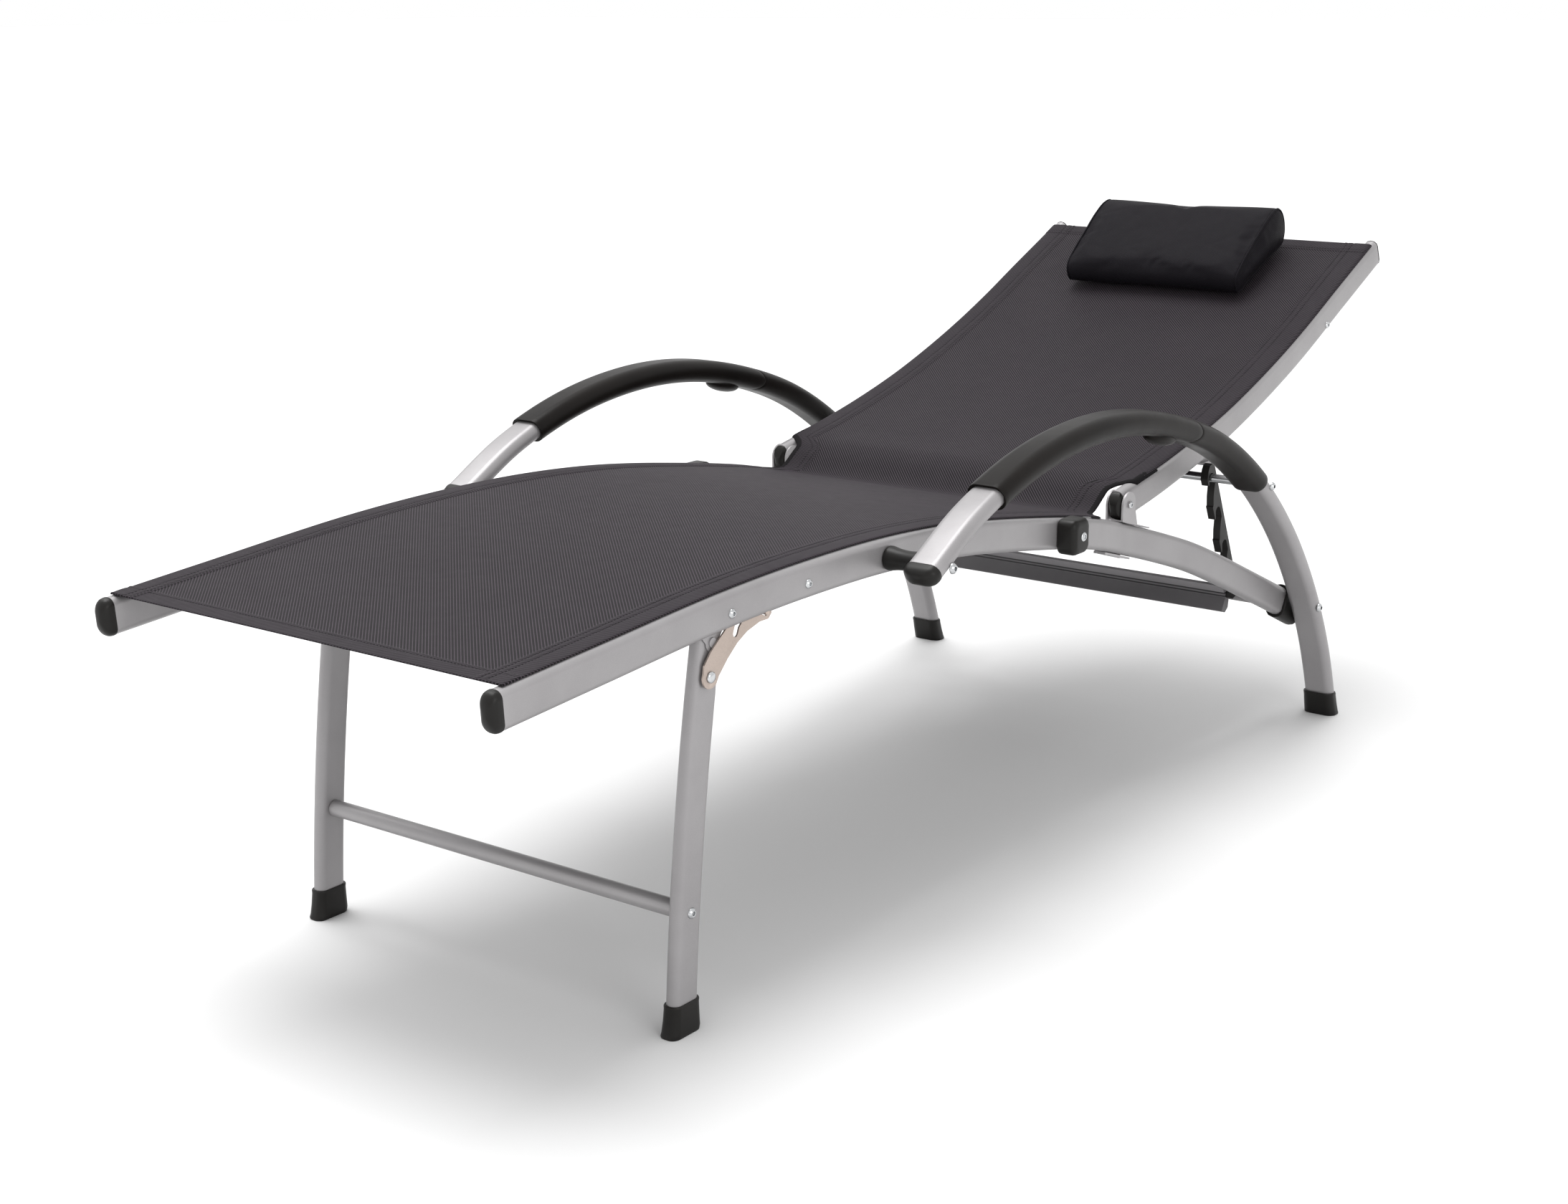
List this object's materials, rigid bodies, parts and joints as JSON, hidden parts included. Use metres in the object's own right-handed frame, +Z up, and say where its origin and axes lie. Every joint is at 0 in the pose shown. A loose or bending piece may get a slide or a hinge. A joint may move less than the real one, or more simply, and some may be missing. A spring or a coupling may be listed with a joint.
{
  "type": "reclining sun lounger",
  "caption": "Reclining garden sun lounger: silver tube frame, dark mesh sling, arms that sweep down into the rear legs, hook rack for the backrest, folding front legs and a head cushion",
  "frame": {"origin": "centre of the bounding box on the floor plane", "axes": "+X to the left side of a person lying on it, +Y toward the head end, +Z up"},
  "size_m": [0.6986, 1.8272, 0.6712],
  "materials": {
    "silver_powder_coat": "silver grey powder coat, satin, very fine grain",
    "zinc_steel": "bright zinc plate with faint warm tint",
    "black_plastic": "satin black moulded plastic",
    "graphite_plastic": "satin graphite grey moulded plastic",
    "sling_fabric": "coated twill mesh, charcoal with a light diagonal thread",
    "cushion_fabric": "dark padded fabric with edge seams"
  },
  "bodies": {
    "chassis": {"seat_rail_l": "silver_powder_coat", "seat_rail_r": "silver_powder_coat", "rail_end_cap_l": "black_plastic", "rail_end_cap_r": "black_plastic", "arm_tube_l": "silver_powder_coat", "arm_tube_r": "silver_powder_coat", "arm_front_cap_l": "black_plastic", "arm_front_cap_r": "black_plastic", "armrest_front_l": "black_plastic", "armrest_front_r": "black_plastic", "armrest_rear_l": "black_plastic", "armrest_rear_r": "black_plastic", "rear_foot_l": "black_plastic", "rear_foot_r": "black_plastic", "arm_spacer_l": "black_plastic", "arm_spacer_r": "black_plastic", "rail_socket_l": "black_plastic", "rail_socket_r": "black_plastic", "arm_front_bolt_l": "zinc_steel", "arm_front_bolt_r": "zinc_steel", "arm_bar_bolt_l": "zinc_steel", "arm_bar_bolt_r": "zinc_steel", "arm_leg_bolt_l": "zinc_steel", "arm_leg_bolt_r": "zinc_steel", "hinge_clevis_l": "silver_powder_coat", "hinge_clevis_r": "silver_powder_coat", "bumper_block_l": "black_plastic", "bumper_block_r": "black_plastic", "leg_bracket_l": "silver_powder_coat", "leg_bracket_r": "silver_powder_coat", "front_cross_tube": "silver_powder_coat", "rear_cross_tube": "silver_powder_coat", "prop_bar": "zinc_steel", "seat_sling": "sling_fabric"},
    "front_leg_frame": {"front_leg_l": "silver_powder_coat", "front_leg_r": "silver_powder_coat", "front_foot_l": "black_plastic", "front_foot_r": "black_plastic", "front_leg_crossbar": "silver_powder_coat"},
    "stay_left": {"fold_stay_l": "zinc_steel"},
    "stay_right": {"fold_stay_r": "zinc_steel"},
    "backrest": {"backrest_rail_l": "silver_powder_coat", "backrest_rail_r": "silver_powder_coat", "backrest_plug_l": "black_plastic", "backrest_plug_r": "black_plastic", "backrest_top_cap_l": "black_plastic", "backrest_top_cap_r": "black_plastic", "rack_pivot_pin_l": "zinc_steel", "rack_pivot_pin_r": "zinc_steel", "backrest_cross_tube": "silver_powder_coat", "back_sling": "sling_fabric", "head_cushion": "cushion_fabric"},
    "hook_rack": {"rack_comb_l": "black_plastic", "rack_comb_r": "black_plastic", "rack_plate_l": "silver_powder_coat", "rack_plate_r": "silver_powder_coat", "rack_grip": "graphite_plastic"}
  },
  "joints": [
    {"name": "backrest_recline", "type": "hinge", "parent": "chassis", "child": "backrest", "pos_m": [0, 0.18636, 0.371], "axis": [1, 0, 0], "range_deg": [0, 40]},
    {"name": "rack_swing", "type": "hinge", "parent": "backrest", "child": "hook_rack", "pos_m": [0, 0.41936, 0.4105], "axis": [1, 0, 0], "range_deg": [-16, 0]},
    {"name": "front_leg_fold", "type": "hinge", "parent": "chassis", "child": "front_leg_frame", "pos_m": [0, -0.61064, 0.3835], "axis": [1, 0, 0], "range_deg": [0, 90]},
    {"name": "stay_left_swing", "type": "hinge", "parent": "front_leg_frame", "child": "stay_left", "pos_m": [0.262, -0.61814, 0.3519], "axis": [1, 0, 0], "range_deg": [-108, 0]},
    {"name": "stay_right_swing", "type": "hinge", "parent": "front_leg_frame", "child": "stay_right", "pos_m": [-0.262, -0.61814, 0.3519], "axis": [1, 0, 0], "range_deg": [-108, 0]}
  ],
  "couplings": [
    {"joint": "rack_swing", "follows": "backrest_recline", "ratio": -0.4},
    {"joint": "stay_left_swing", "follows": "front_leg_fold", "ratio": -1.2},
    {"joint": "stay_right_swing", "follows": "front_leg_fold", "ratio": -1.2}
  ]
}
